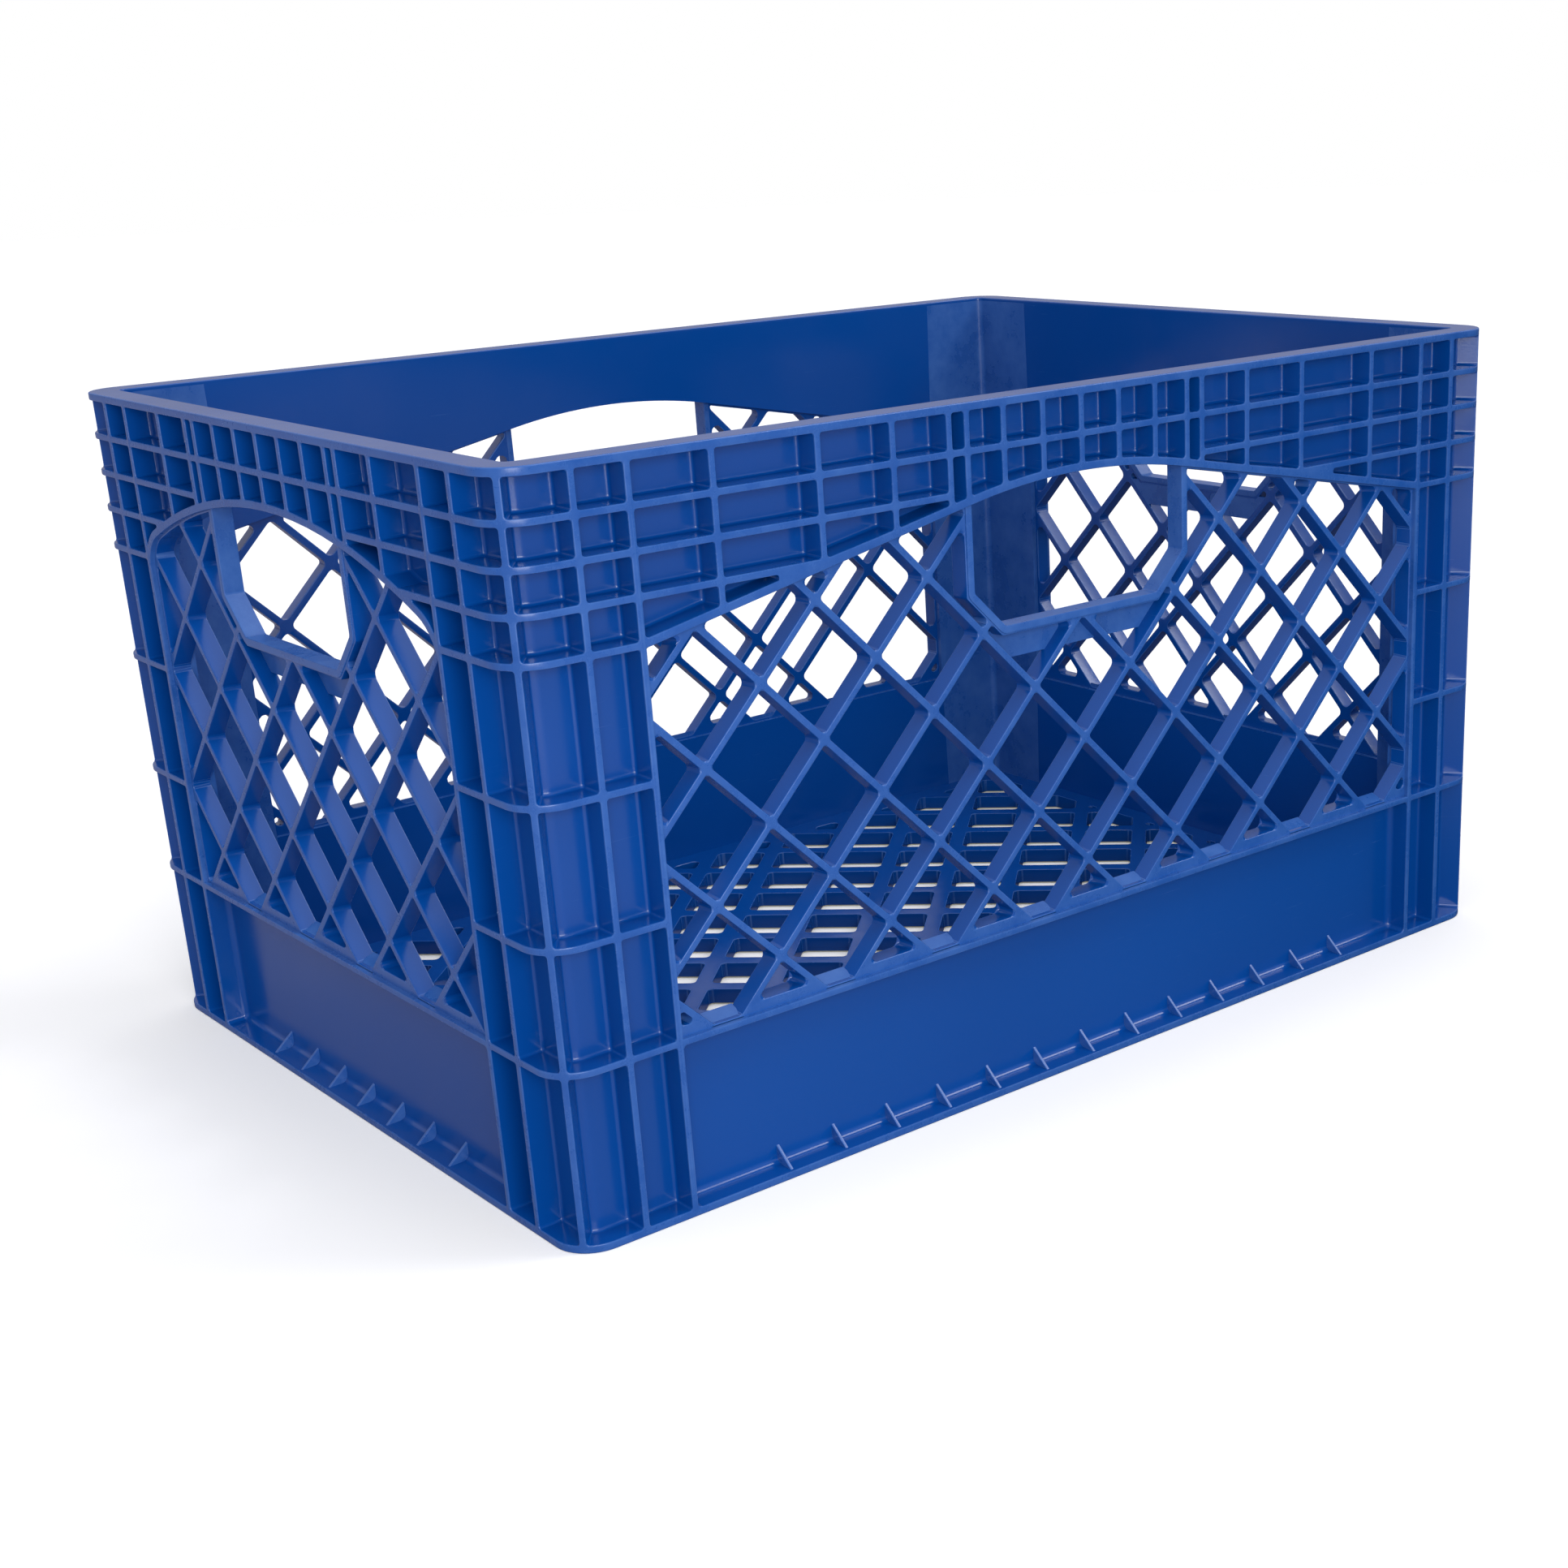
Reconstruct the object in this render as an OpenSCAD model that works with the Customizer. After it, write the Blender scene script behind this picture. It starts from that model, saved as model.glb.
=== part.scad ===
// Rectangular milk bottle crate: one moulding, drawn as the members that it is built up from.
// The origin is the centre of the underside, +Z is up, X runs along the length. Sizes are in mm.

/* [Crate] */
// Outside length of the crate
crate_l = 480; // [472:2:496]
// Outside width of the crate
crate_w = 338; // [334:2:346]
// Outside height of the crate
crate_h = 266; // [265:1:270]
// Radius of the four outer corners
corner_r = 15; // [13:1:18]

/* [Walls] */
// Distance from the outer rib edges to the inner face of a wall
wall_d = 12; // [11:0.5:13]
// Thickness of the inner skin of a wall
skin_t = 2.5; // [2:0.1:3]
// Thickness of the horizontal and vertical ribs
rib_t = 2.5; // [2:0.1:3]
// Distance from a corner to the inner edge rib of its post
post_w = 47.5; // [46:0.5:49]
// Distance from a corner to the middle rib of its post
post_mid = 27.5; // [25:0.5:30]

/* [Rim and base] */
// Thickness of the plate round the top
rim_t = 3; // [2.5:0.1:4]
// Thickness of the flange round the bottom
base_t = 3; // [2.5:0.1:4]
// Height of the ledge on top of the plain skirt
ledge_z = 66; // [62:0.5:68]
// Height of the small gussets between flange and skirt
gusset_h = 7.5; // [5:0.5:10]
// Thickness of the small gussets
gusset_t = 1.4; // [1.2:0.1:2]

/* [Windows] */
// Thickness of the arched rib over each window
arch_t = 3; // [2.5:0.1:3.5]
// Height of the top of each arch
arch_top = 237; // [235:0.5:238]
// Radius of the crown of the long walls' arches
long_arch_r = 275; // [260:5:300]
// Slope of the straight flanks of the long walls' arches, in degrees
long_arch_slope = 11; // [10.5:0.1:11.2]
// Radius of the short walls' arches
short_arch_r = 285; // [275:5:300]
// Radius of the upper corners of the short walls' windows
short_corner_r = 20; // [14:1:24]

/* [Lattice] */
// Distance between lattice crossings along a row
lattice_pitch = 49; // [47:0.5:51]
// Thickness of the diagonal lattice bars
lattice_t = 2.8; // [2.2:0.1:3.4]
// Distance that the lattice lies back from the outer rib edges
lattice_recess = 2; // [1:0.5:3]
// Height of the lowest row of crossings above the underside
lattice_z = 85; // [83:0.5:87]
// Height of the small sills between the lattice feet, above the ledge
sill_h = 4; // [2:0.5:6]

/* [Handles] */
// Width of each hand hole between the centres of its side bars
handle_w = 108; // [104:1:112]
// Height of the centre of the bar under each hand hole
handle_z = 182.5; // [181:0.5:185]
// Size of the cut corners of each hand hole
handle_cut = 15; // [12:0.5:16]
// Thickness of the hand hole's frame
handle_t = 3; // [2.5:0.1:4]
// Distance of the hand hole's frame behind the outer face
handle_recess = 1.5; // [0.5:0.5:2]
// Height of the flange that hangs under the hand hole's bar
handle_flange = 10.5; // [6:0.5:12]
// Thickness of that flange
flange_t = 2; // [1.6:0.1:2.5]

/* [Floor] */
// Height of the floor's upper face
floor_z = 7; // [6:0.5:9]
// Thickness of the floor grid
floor_t = 6.5; // [4:0.5:6.5]
// Width of the plain border round the floor grid
floor_border = 9; // [6:0.5:14]
// Distance between floor grid crossings along X
floor_pitch = 44; // [42:0.5:46]
// Width of the diagonal floor bars
floor_bar = 7.5; // [6:0.5:11]
// Shift of the floor grid along X
floor_shift = 11; // [0:0.5:22]

/* [Hidden] */

plastic = [0.05, 0.22, 0.55];
arc_fn = 96;
// Steps on each side of the crown of a long wall's arch
crown_steps = 10;

// Centre heights of the horizontal ribs round the posts, from the rim down
level_1 = 249;
level_2 = 234.5;
level_3 = 220;
level_4 = 204.5;
level_5 = 158.5;
level_6 = 110;
post_levels = [level_1, level_2, level_3, level_4, level_5, level_6, ledge_z];

// Distances of the bands' vertical ribs from the middle of the wall
long_ribs = [0, 18.75, 37.5, 54.5, 62.5, 87.5, 119, 161];
short_ribs = [0, 18.5, 37, 55, 62.5, 88];
// Distance from the middle at which the second horizontal rib starts
second_rib_from = 62.5;

// Gussets: spacing, and how many stand on each side of the middle one
gusset_pitch = 25;
long_gussets = 6;
short_gussets = 3;
gusset_foot = 8.5;

skin_d = wall_d - skin_t;
post_arm = post_w + rib_t / 2;
window_floor = ledge_z + rib_t / 2;
wall_top = crate_h - rim_t;
reach = crate_l;
// How far the window outlines run past the posts and the ledge that trim them
overrun = 5;
// How far the short windows' corner arcs run into the posts
corner_tuck = 2;

long_arch_z = arch_top - long_arch_r;
short_arch_z = arch_top - short_arch_r;

// Half the length of wall between two posts
function half_u(long) = (long ? crate_l : crate_w) / 2 - post_arm;

// Centres of the short window's corner arcs, which end on the posts
short_corner_u = half_u(false) + corner_tuck - short_corner_r;
short_corner_z = short_arch_z + sqrt(pow(short_arch_r - short_corner_r, 2) - pow(short_corner_u, 2));

// Height of a long arch's flank, shifted outwards by grow, at a distance u from the middle
function flank_z(grow, u) = long_arch_z + (long_arch_r + grow) * cos(long_arch_slope)
    - (u - (long_arch_r + grow) * sin(long_arch_slope)) * tan(long_arch_slope);

// ---- placing ----

// Puts a wall member, drawn with X along the wall and Y inwards, on one of the four walls
module on_front() translate([0, -crate_w / 2, 0]) children();
module on_back() mirror([0, 1, 0]) on_front() children();
module on_left() translate([-crate_l / 2, 0, 0]) rotate([0, 0, -90]) children();
module on_right() mirror([1, 0, 0]) on_left() children();

// Gives a flat shape, drawn as width and height, a thickness from depth a to depth b
module slab(a, b) translate([0, b, 0]) rotate([90, 0, 0]) linear_extrude(b - a) children();

// Extrudes a plan shape upwards from height a to height b
module storey(a, b) translate([0, 0, a]) linear_extrude(b - a) children();

// ---- flat shapes ----

module long_window(grow) {
    r = long_arch_r + grow;
    side = half_u(true) + overrun;
    low = window_floor - overrun;
    crown = [for (i = [-crown_steps:crown_steps])
        [-r * sin(i * long_arch_slope / crown_steps),
         long_arch_z + r * cos(i * long_arch_slope / crown_steps)]];
    polygon(concat([[-side, flank_z(grow, side)], [-side, low], [side, low], [side, flank_z(grow, side)]],
                   crown));
}

module short_window(grow) {
    r = short_arch_r + grow;
    turn = r / (short_arch_r - short_corner_r);
    side = short_corner_u + short_corner_r + grow;
    low = window_floor - overrun;
    translate([-side, low]) square([2 * side, short_corner_z - low]);
    for (s = [-1, 1])
        translate([s * short_corner_u, short_corner_z]) circle(short_corner_r + grow, $fn = arc_fn);
    intersection() {
        translate([0, short_arch_z]) circle(r, $fn = 4 * arc_fn);
        translate([-short_corner_u * turn, short_corner_z]) square([2 * short_corner_u * turn, r]);
    }
}

// Outline under the arch of a wall, past the posts and the ledge; grow moves its arch outwards
module window(long, grow) {
    if (long) long_window(grow);
    else short_window(grow);
}

// Stretch of wall between two posts, from the ledge to the rim
module field(long) {
    half = half_u(long);
    translate([-half, window_floor]) square([2 * half, wall_top - window_floor]);
}

module diagonal_bars(pitch, width, count) {
    for (i = [-count:count], turn = [-45, 45])
        translate([i * pitch, 0]) rotate(turn) square([2 * reach, width], center = true);
}

module lattice_bars() translate([0, lattice_z]) diagonal_bars(lattice_pitch, lattice_t, 7);

// Low sills between the feet of the lattice
module lattice_sills() {
    foot = lattice_z - window_floor + overrun;
    head = lattice_z - window_floor - sill_h;
    for (i = [-4:4])
        translate([i * lattice_pitch, 0])
            polygon([[-foot, window_floor - overrun], [foot, window_floor - overrun],
                     [head, window_floor + sill_h], [-head, window_floor + sill_h]]);
}

// Outline of a hand hole, open into the arch above; grow moves it outwards
module hand_hole(grow) {
    corner = tan(22.5) * grow;
    side = handle_w / 2 + grow;
    foot = handle_w / 2 - handle_cut + corner;
    shoulder = handle_z + handle_cut - corner;
    polygon([[-side, crate_h], [-side, shoulder], [-foot, handle_z - grow],
             [foot, handle_z - grow], [side, shoulder], [side, crate_h]]);
}

// Corner seen from above, corner at the origin, with its outline moved in by depth
module corner_block(depth) {
    difference() {
        translate([depth, depth]) square(post_arm - depth);
        difference() {
            translate([depth, depth]) square(corner_r - depth);
            translate([corner_r, corner_r]) circle(corner_r - depth, $fn = arc_fn);
        }
    }
}

module corner_strip(depth) {
    difference() {
        corner_block(depth);
        translate([wall_d, wall_d]) square(post_arm);
    }
}

// Plan of the whole crate with rounded corners
module crate_plan() {
    translate([-crate_l / 2, -crate_w / 2 + corner_r]) square([crate_l, crate_w - 2 * corner_r]);
    translate([-crate_l / 2 + corner_r, -crate_w / 2]) square([crate_l - 2 * corner_r, crate_w]);
    for (x = [-1, 1], y = [-1, 1])
        translate([x * (crate_l / 2 - corner_r), y * (crate_w / 2 - corner_r)])
            circle(corner_r, $fn = arc_fn);
}

// Rectangle that lies inside the walls by a margin
module inner_plan(margin)
    square([crate_l - 2 * (wall_d + margin), crate_w - 2 * (wall_d + margin)], center = true);

// ---- members ----

module ring_plate() {
    difference() {
        crate_plan();
        inner_plan(0);
    }
}

module rim() color(plastic) storey(wall_top, crate_h) ring_plate();

module base_flange() color(plastic) storey(0, base_t) ring_plate();

module floor_frame() color(plastic) storey(0, floor_z) difference() {
    inner_plan(0);
    inner_plan(floor_border);
}

module floor_grid() color(plastic) storey(floor_z - floor_t, floor_z) intersection() {
    inner_plan(floor_border);
    translate([floor_shift, 0]) diagonal_bars(floor_pitch, floor_bar, 9);
}

// Post at a corner that lies at the origin, between the base flange and the rim
module post() {
    color(plastic) {
        storey(base_t, wall_top) {
            corner_strip(skin_d);
            for (u = [post_mid, post_w]) {
                translate([u - rib_t / 2, 0]) square([rib_t, wall_d]);
                translate([0, u - rib_t / 2]) square([wall_d, rib_t]);
            }
            intersection() {
                corner_block(0);
                rotate(45) translate([0, -rib_t / 2]) square([wall_d * sqrt(2), rib_t]);
            }
        }
        for (z = post_levels) storey(z - rib_t / 2, z + rib_t / 2) corner_strip(0);
    }
}

module at_corner() translate([-crate_l / 2, -crate_w / 2, 0]) children();
module post_front_left() at_corner() post();
module post_front_right() mirror([1, 0, 0]) at_corner() post();
module post_back_left() mirror([0, 1, 0]) at_corner() post();
module post_back_right() mirror([1, 0, 0]) mirror([0, 1, 0]) at_corner() post();

// Everything between the arch and the rim
module band_area(long) {
    difference() {
        field(long);
        window(long, -arch_t / 2);
    }
}

module band_ribs(long) {
    half = half_u(long);
    window(long, arch_t / 2);
    for (u = long ? long_ribs : short_ribs, s = [-1, 1])
        translate([s * u - rib_t / 2, 0]) square([rib_t, wall_top]);
    for (z = [level_1, level_3])
        translate([-half, z - rib_t / 2]) square([2 * half, rib_t]);
    for (u = [-half, second_rib_from])
        translate([u, level_2 - rib_t / 2]) square([half - second_rib_from, rib_t]);
}

module band(long) {
    color(plastic) {
        slab(skin_d, wall_d) band_area(long);
        slab(0, skin_d) intersection() {
            band_area(long);
            band_ribs(long);
        }
    }
}

module lattice(long) {
    color(plastic) slab(lattice_recess, skin_d) difference() {
        intersection() {
            field(long);
            window(long, -arch_t / 2);
            union() {
                lattice_bars();
                lattice_sills();
            }
        }
        hand_hole(handle_t / 2);
    }
}

// Flange at the back of the lattice, under the hand hole's bar, between the lattice bars
module hand_flange() {
    top = handle_z - handle_t / 2;
    wide = lattice_pitch - (lattice_z + 4 * lattice_pitch / 2 - top);
    difference() {
        polygon([[-wide, top], [wide, top],
                 [wide - handle_flange, top - handle_flange], [handle_flange - wide, top - handle_flange]]);
        lattice_bars();
    }
}

module handle(long) {
    color(plastic) {
        slab(handle_recess, skin_d) intersection() {
            window(long, -arch_t / 2);
            difference() {
                hand_hole(handle_t / 2);
                hand_hole(-handle_t / 2);
            }
        }
        slab(skin_d - flange_t, skin_d) hand_flange();
    }
}

module skirt(long) {
    half = half_u(long);
    color(plastic) {
        slab(skin_d, wall_d) translate([-half, base_t]) square([2 * half, window_floor - base_t]);
        slab(0, skin_d) translate([-half, ledge_z - rib_t / 2]) square([2 * half, rib_t]);
    }
}

module gussets(count) {
    color(plastic) for (i = [-count:count])
        translate([i * gusset_pitch - gusset_t / 2, 0, 0]) rotate([90, 0, 90]) linear_extrude(gusset_t)
            polygon([[skin_d - gusset_foot, base_t], [skin_d, base_t], [skin_d, base_t + gusset_h]]);
}

rim();
base_flange();
floor_frame();
floor_grid();
post_front_left();
post_front_right();
post_back_left();
post_back_right();
on_front() band(true);  // band_front
on_back() band(true);  // band_back
on_left() band(false);  // band_left
on_right() band(false);  // band_right
on_front() lattice(true);  // lattice_front
on_back() lattice(true);  // lattice_back
on_left() lattice(false);  // lattice_left
on_right() lattice(false);  // lattice_right
on_front() handle(true);  // handle_front
on_back() handle(true);  // handle_back
on_left() handle(false);  // handle_left
on_right() handle(false);  // handle_right
on_front() skirt(true);  // skirt_front
on_back() skirt(true);  // skirt_back
on_left() skirt(false);  // skirt_left
on_right() skirt(false);  // skirt_right
on_front() gussets(long_gussets);  // gussets_front
on_back() gussets(long_gussets);  // gussets_back
on_left() gussets(short_gussets);  // gussets_left
on_right() gussets(short_gussets);  // gussets_right
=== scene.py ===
"""Looks of a moulded plastic milk crate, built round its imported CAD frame.

Every wall is drawn flat, as width, height and depth in millimetres, and then put on its side of the crate.
"""

import math

import bmesh
import bpy
from mathutils import Matrix, Vector
from mathutils.geometry import delaunay_2d_cdt


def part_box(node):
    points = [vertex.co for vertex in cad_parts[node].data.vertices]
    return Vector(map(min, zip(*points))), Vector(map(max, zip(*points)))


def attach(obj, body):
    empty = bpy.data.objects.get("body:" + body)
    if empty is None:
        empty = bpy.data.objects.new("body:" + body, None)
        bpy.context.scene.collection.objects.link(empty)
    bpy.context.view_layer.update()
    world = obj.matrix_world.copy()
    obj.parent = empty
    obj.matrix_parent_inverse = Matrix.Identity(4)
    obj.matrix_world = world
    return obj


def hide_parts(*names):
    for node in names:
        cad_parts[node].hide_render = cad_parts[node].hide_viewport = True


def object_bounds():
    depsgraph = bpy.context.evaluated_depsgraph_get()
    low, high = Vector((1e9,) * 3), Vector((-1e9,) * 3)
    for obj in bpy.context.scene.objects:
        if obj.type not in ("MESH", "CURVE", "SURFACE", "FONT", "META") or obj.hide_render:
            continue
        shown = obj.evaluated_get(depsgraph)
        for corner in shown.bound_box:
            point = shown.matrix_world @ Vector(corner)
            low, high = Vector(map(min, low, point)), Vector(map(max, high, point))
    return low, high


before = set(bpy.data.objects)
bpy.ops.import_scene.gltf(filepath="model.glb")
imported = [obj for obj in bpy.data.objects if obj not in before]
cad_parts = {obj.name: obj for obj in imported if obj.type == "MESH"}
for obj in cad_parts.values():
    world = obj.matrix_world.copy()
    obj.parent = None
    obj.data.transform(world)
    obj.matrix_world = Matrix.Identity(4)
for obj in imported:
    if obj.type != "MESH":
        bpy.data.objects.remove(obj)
cad_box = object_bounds()

# ---------------------------------------------------------------- sizes, in mm

MM = 0.001


def size_of(node):
    """Size of a CAD node along X, Y and Z."""
    low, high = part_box(node)
    return [(b - a) / MM for a, b in zip(low, high)]


LENGTH, WIDTH, HEIGHT = [(b - a) / MM for a, b in zip(*cad_box)]
POST_ARM = size_of("post_front_left")[0]
WALL = size_of("band_front")[1]
RIM = size_of("rim")[2]
BASE = size_of("base_flange")[2]
LEDGE_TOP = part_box("skirt_front")[1].z / MM
FLOOR_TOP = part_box("floor_grid")[1].z / MM
FLOOR_THICK = size_of("floor_grid")[2]
FLOOR_EDGE_X = size_of("floor_grid")[0] / 2
FLOOR_EDGE_Y = size_of("floor_grid")[1] / 2


def depths_of(node):
    """Depth of a front wall's node behind the outer face, at its front and at its back."""
    low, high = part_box(node)
    return (low.y - cad_box[0][1]) / MM, (high.y - cad_box[0][1]) / MM


LATTICE_FRONT, LATTICE_BACK = depths_of("lattice_front")
HAND_FRONT = depths_of("handle_front")[0]
GUSSET_HIGH = size_of("gussets_front")[2]
GUSSET_FOOT = size_of("gussets_front")[1]

RIB = 2.5
SKIN_THICK = 2.5
SKIN = WALL - SKIN_THICK
CORNER = 15.0
ARCH_RIB = 3.0
ARCH_TOP = 237.0
ABOVE_WINDOW = ARCH_TOP + 10.0
LEVELS = [249.0, 234.5, 220.0, 204.5, 158.5, 110.0, LEDGE_TOP - RIB / 2]
POST_MID = 27.5
POST_EDGE = POST_ARM - RIB / 2
SECOND_RIB_FROM = 62.5
LATTICE_PITCH = 49.0
LATTICE_BAR = 2.6
LATTICE_LOW = 85.0
LATTICE_BARS = range(-7, 8)
SILLS = range(-4, 5)
SILL = 4.0
SILL_SUNK = 1.0
PAD_RISE = 3.0
PAD_SUNK = 0.2
HAND_SIDE = 54.0
HAND_LOW = 182.5
HAND_CUT = 15.0
HAND_BAR = 3.0
HAND_FLANGE = 10.5
FLANGE_THICK = 2.0
FLOOR_PITCH = 44.0
FLOOR_BAR = 7.5
FLOOR_SHIFT = 11.0
FLOOR_BARS = range(-9, 10)
DIAGONALS = (math.pi / 4, -math.pi / 4)
GUSSET_PITCH = 25.0
GUSSET_THICK = 1.4

SIDES = {
    "long": {
        "half": LENGTH / 2 - POST_EDGE,
        "crown": 275.0,
        "slope": math.radians(11.0),
        "ribs": [0.0, 18.75, 37.5, 54.5, 62.5, 87.5, 119.0, 161.0],
        "gussets": 6,
    },
    "short": {
        "half": WIDTH / 2 - POST_EDGE,
        "crown": 285.0,
        "shoulder": 20.0,
        "ribs": [0.0, 18.5, 37.0, 55.0, 62.5, 88.0],
        "gussets": 3,
    },
}

# Rounding of the moulding
EDGE = 0.45
SMALL_EDGE = 0.3
FILLET = 1.3
SKIRT_FILLET = 2.6
SMALLEST_FILLET = 0.2
DRAFT = 0.3
POCKET_RADIUS = 0.8
SKIRT_RADIUS = 1.2
LATTICE_RADII = (0.7, 3.2)
FLOOR_RADII = (2.0, 2.6)
HAND_RADIUS = 3.5
HAND_STEPS = 5
SMALLEST_RADIUS = 0.15
EDGE_BEND = 0.3
RIM_EDGE = 0.6
BASE_EDGE = 0.5
QUARTER = math.pi / 2
EDGE_STEPS = 2
FILLET_STEPS = 4
ARC_STEPS = 4
HOOP_STEPS = 12
RIM_STEPS = 3
BEND = 1.6

# Part of a shape's side that the rounding of one corner may take
SIDE_SHARE = 0.46
SMALLEST_REACH = 0.02

# Part of a pocket's half width, and of its shortest side, that the fillet at its floor may take
WIDTH_SHARE = 0.3
LENGTH_SHARE = 0.35

# Keeps a very sharp corner from moving too far when its outline grows
SHARPEST = 0.25

# Sides of the curves of an arch
CROWN_STEPS = 18
SHORT_CROWN_STEPS = 20
SHOULDER_STEPS = 6
SHOULDER_INSET = 2.0

# Two members of a moulding run this far into each other, or stay this far apart
OVERLAP = 0.3
SHORT_OVERLAP = 0.1
MARGIN = 0.8
HAND_MARGIN = 0.6
HAND_DROP = 0.4
FLANGE_OVERLAP = 0.4

# Corners that turn less than this belong to a curve
BLUNT = math.radians(18)
STRAIGHT = 0.002
CORNER_REACH = 3.0
SAME_POINT = 0.05
CELL_TOLERANCE = 1e-5
CAP_TOLERANCE = 1e-6
SMALLEST_CELL = 12.0
REACH = 600.0

# Edges and outer faces paled partly by rubbing, partly as painted highlight and painted light
WEAR_AND_HIGHLIGHT_ANGLE = math.radians(20)
SMOOTH_ANGLE = math.radians(38)
LARGE_FACE_WEIGHT = 80
OUTER_DEPTH = 2.3
EDGE_WEAR_AND_HIGHLIGHT = 1.0
FACE_WEAR_AND_PAINTED_LIGHT = 0.75


# ---------------------------------------------------------------- flat shapes


def turn_at(poly, i):
    """Turning angle of a polygon at a corner, positive to the left."""
    a, b, c = poly[i - 1], poly[i], poly[(i + 1) % len(poly)]
    ux, uy, vx, vy = b[0] - a[0], b[1] - a[1], c[0] - b[0], c[1] - b[1]
    return math.atan2(ux * vy - uy * vx, ux * vx + uy * vy)


def grown(poly, d):
    """The polygon, listed anticlockwise, with every side moved outwards by d."""
    out = []
    n = len(poly)
    for i in range(n):
        a, b, c = Vector(poly[i - 1]), Vector(poly[i]), Vector(poly[(i + 1) % n])
        u, v = (b - a).normalized(), (c - b).normalized()
        m = Vector((u.y, -u.x)) + Vector((v.y, -v.x))
        scale = max(m.length_squared / 2, SHARPEST)
        out.append(tuple(b + m * (d / scale)))
    return out


def rounded(poly, radius, steps=ARC_STEPS):
    """The polygon with an arc at each real corner; steps sets how many sides an arc has."""
    out = []
    n = len(poly)
    for i in range(n):
        turn = turn_at(poly, i)
        b = Vector(poly[i])
        if abs(turn) < BLUNT:
            out.append(tuple(b))
            continue
        to_a, to_c = Vector(poly[i - 1]) - b, Vector(poly[(i + 1) % n]) - b
        reach = radius * math.tan(abs(turn) / 2)
        reach = max(min(reach, SIDE_SHARE * to_a.length, SIDE_SHARE * to_c.length), SMALLEST_REACH)
        r = reach / math.tan(abs(turn) / 2)
        start = b + to_a.normalized() * reach
        side = 1 if turn > 0 else -1
        u = -to_a.normalized()
        middle = start + Vector((-u.y, u.x)) * r * side
        arm = start - middle
        for k in range(steps + 1):
            t = turn * k / steps
            c, s = math.cos(t), math.sin(t)
            out.append((middle.x + arm.x * c - arm.y * s, middle.y + arm.x * s + arm.y * c))
    return out


def cells(shapes, keep):
    """Outlines of the regions whose set of covering shapes passes keep.

    shapes is a list of (name, polygon), and keep is given the names that cover a region.
    """
    verts, faces = [], []
    for _, poly in shapes:
        faces.append(list(range(len(verts), len(verts) + len(poly))))
        verts.extend(Vector(p) for p in poly)
    points, _, triangles, _, _, owners = delaunay_2d_cdt(verts, [], faces, 0, CELL_TOLERANCE)
    kept = []
    for tri, own in zip(triangles, owners):
        if keep({shapes[k][0] for k in own}):
            a, b, c = (points[k] for k in tri)
            area = (b - a).cross(c - a)
            kept.append(list(tri) if area > 0 else list(reversed(tri)))
    edges = {(t[k], t[(k + 1) % len(t)]) for t in kept for k in range(len(t))}
    follow = {}
    for a, b in edges:
        if (b, a) not in edges:
            follow.setdefault(a, []).append(b)
    loops = []
    while follow:
        first = min(follow, key=lambda k: (round(points[k].x, 3), round(points[k].y, 3)))
        loop, at = [], first
        while at in follow:
            loop.append(at)
            ends = follow[at]
            nxt = ends.pop()
            if not ends:
                del follow[at]
            at = nxt
        loops.append(straightened([tuple(points[k]) for k in loop]))
    return [loop for loop in loops if len(loop) > 2 and area_of(loop) > SMALLEST_CELL]


def straightened(poly):
    """The polygon without points on a straight side, or on a curve close to a real corner."""
    out = []
    for p in poly:
        if not out or math.dist(p, out[-1]) > SAME_POINT:
            out.append(p)
    if math.dist(out[0], out[-1]) < SAME_POINT:
        out.pop()
    if len(out) < 3:
        return out
    out = [p for i, p in enumerate(out) if abs(turn_at(out, i)) > STRAIGHT]
    sharp = [p for i, p in enumerate(out) if abs(turn_at(out, i)) > BLUNT]
    return [p for p in out if p in sharp or all(math.dist(p, q) > CORNER_REACH for q in sharp)]


def area_of(poly):
    """Area of a polygon listed anticlockwise."""
    return sum(poly[i - 1][0] * p[1] - p[0] * poly[i - 1][1] for i, p in enumerate(poly)) / 2


def rectangle(x0, y0, x1, y1):
    """A rectangle between two opposite corners, anticlockwise."""
    return [(x0, y0), (x1, y0), (x1, y1), (x0, y1)]


def bar(x, y, angle, width):
    """A long straight bar through a point."""
    c, s = math.cos(angle), math.sin(angle)
    outline = rectangle(-REACH, -width / 2, REACH, width / 2)
    return [(x + c * a - s * b, y + s * a + c * b) for a, b in outline]


def arch_line(side, grow):
    """Points of a window's arch from right to left, with the arch moved outwards by grow."""
    half = side["half"] - RIB / 2
    r = side["crown"] + grow
    middle = ARCH_TOP - side["crown"]
    if "slope" in side:
        slope = side["slope"]
        crown = [slope * (1 - 2 * k / CROWN_STEPS) for k in range(CROWN_STEPS + 1)]
        line = [(r * math.sin(a), middle + r * math.cos(a)) for a in crown]
        end = line[0][1] - (half - line[0][0]) * math.tan(slope)
        return [(half, end)] + line + [(-half, end)]
    # The shoulder's centre lies so that its arc runs a little into the post
    small = side["shoulder"]
    u = half + SHOULDER_INSET - small
    z = middle + math.sqrt((side["crown"] - small) ** 2 - u * u)
    tangent = math.atan2(u, z - middle)
    last = math.acos(min((half - u) / (small + grow), 1))
    first = math.pi / 2 - tangent
    turns = [last + (first - last) * k / SHOULDER_STEPS for k in range(SHOULDER_STEPS)]
    right = [(u + (small + grow) * math.cos(t), z + (small + grow) * math.sin(t)) for t in turns]
    crown = [tangent * (1 - 2 * k / SHORT_CROWN_STEPS) for k in range(SHORT_CROWN_STEPS + 1)]
    line = [(r * math.sin(a), middle + r * math.cos(a)) for a in crown]
    return right + line + [(-p, q) for p, q in reversed(right)]


def window(side):
    """Clear outline of a window: ledge, posts and the underside of the arch."""
    half = side["half"] - RIB / 2
    return [(-half, LEDGE_TOP), (half, LEDGE_TOP)] + arch_line(side, -ARCH_RIB / 2)


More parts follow.
